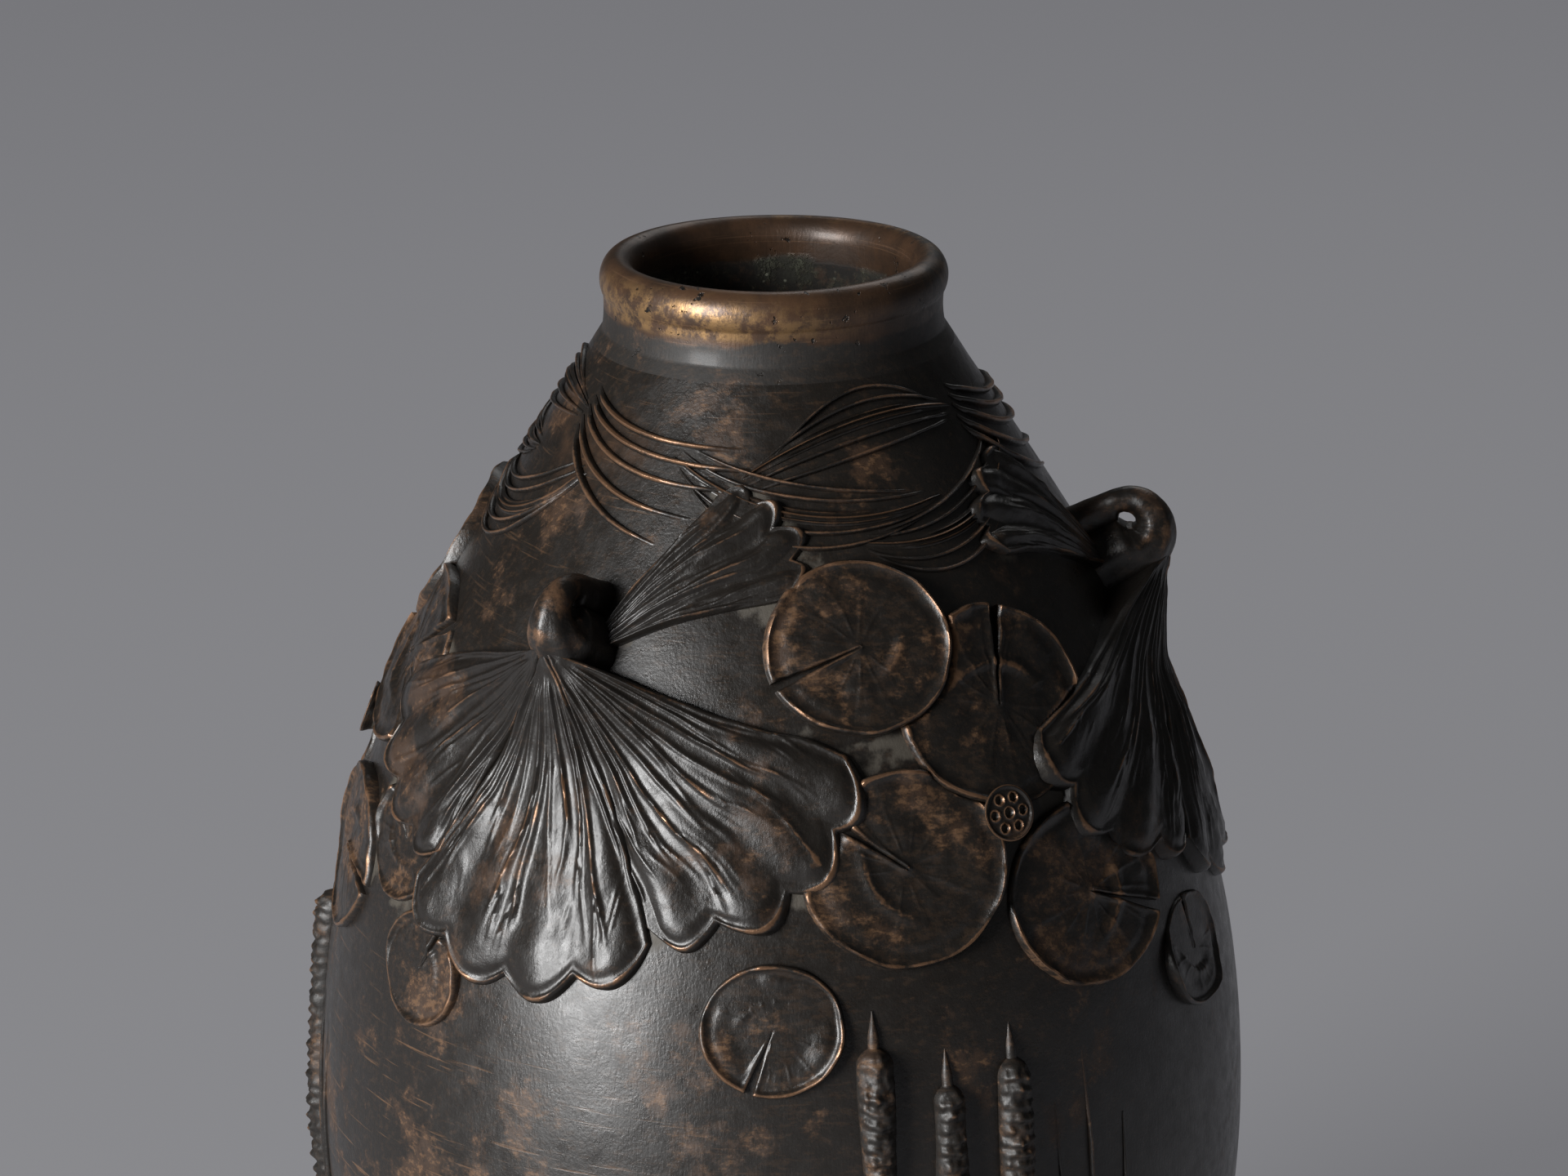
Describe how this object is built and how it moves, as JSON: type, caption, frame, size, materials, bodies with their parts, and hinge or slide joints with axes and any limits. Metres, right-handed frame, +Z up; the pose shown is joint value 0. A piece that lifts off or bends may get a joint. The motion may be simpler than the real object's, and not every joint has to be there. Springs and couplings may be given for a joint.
{
  "type": "bronze vase",
  "caption": "Cast bronze egg-shaped vase with a rolled lip, looped stalk handles and raised pond-plant castings over its shoulder.",
  "frame": {"origin": "centre of the foot's underside, on the surface that the vase stands on", "axes": "+Z up along the vase's axis, front towards -Y"},
  "size_m": [0.229, 0.2267, 0.3705],
  "materials": {
    "foot_bronze": "dark brown patina, worn along the toe",
    "leaf_bronze": "near-black waxed patina, ribs and rims rubbed to copper brown",
    "reed_bronze": "dark patina with a rubbed brown crest",
    "mace_bronze": "rough dark patina with rubbed crumbs",
    "lip_bronze": "warm brown rubbed bronze with golden worn patches and small dark pits",
    "round_leaf_bronze": "near-black patina with mottled brown patches and copper-brown rims",
    "seed_bronze": "dark patina with pale dust in the dimples",
    "stalk_bronze": "dark brown patina rubbed to copper on its crown",
    "wall_bronze": "near-black brown waxed patina over cast bronze, brown rubbed patches low on the belly"
  },
  "bodies": {
    "root": {"base_plate": "foot_bronze", "fan_leaf_a1": "leaf_bronze", "fan_leaf_a2": "leaf_bronze", "fan_leaf_a3": "leaf_bronze", "fan_leaf_a4": "leaf_bronze", "fan_leaf_b1": "leaf_bronze", "fan_leaf_b2": "leaf_bronze", "fan_leaf_b3": "leaf_bronze", "fan_leaf_b4": "leaf_bronze", "fan_leaf_c1": "leaf_bronze", "fan_leaf_c2": "leaf_bronze", "fan_leaf_c3": "leaf_bronze", "fan_leaf_c4": "leaf_bronze", "foot_ring": "foot_bronze", "reed_blade_a1": "reed_bronze", "reed_blade_a2": "reed_bronze", "reed_blade_a3": "reed_bronze", "reed_blade_b1": "reed_bronze", "reed_blade_b2": "reed_bronze", "reed_blade_b3": "reed_bronze", "reed_blade_c1": "reed_bronze", "reed_blade_c2": "reed_bronze", "reed_blade_c3": "reed_bronze", "reed_mace_a1": "mace_bronze", "reed_mace_a2": "mace_bronze", "reed_mace_a3": "mace_bronze", "reed_mace_b1": "mace_bronze", "reed_mace_b2": "mace_bronze", "reed_mace_c1": "mace_bronze", "reed_mace_c2": "mace_bronze", "rolled_lip": "lip_bronze", "round_leaf_a1": "round_leaf_bronze", "round_leaf_a2": "round_leaf_bronze", "round_leaf_a3": "round_leaf_bronze", "round_leaf_a4": "round_leaf_bronze", "round_leaf_a5": "round_leaf_bronze", "round_leaf_a6": "round_leaf_bronze", "round_leaf_b1": "round_leaf_bronze", "round_leaf_b2": "round_leaf_bronze", "round_leaf_b3": "round_leaf_bronze", "round_leaf_b4": "round_leaf_bronze", "round_leaf_b5": "round_leaf_bronze", "round_leaf_b6": "round_leaf_bronze", "round_leaf_c1": "round_leaf_bronze", "round_leaf_c2": "round_leaf_bronze", "round_leaf_c3": "round_leaf_bronze", "round_leaf_c4": "round_leaf_bronze", "round_leaf_c5": "round_leaf_bronze", "round_leaf_c6": "round_leaf_bronze", "seed_head_a": "seed_bronze", "seed_head_b": "seed_bronze", "seed_head_c": "seed_bronze", "stalk_loop_a": "stalk_bronze", "stalk_loop_b": "stalk_bronze", "stalk_loop_c": "stalk_bronze", "vessel_wall": "wall_bronze"}
  },
  "joints": []
}
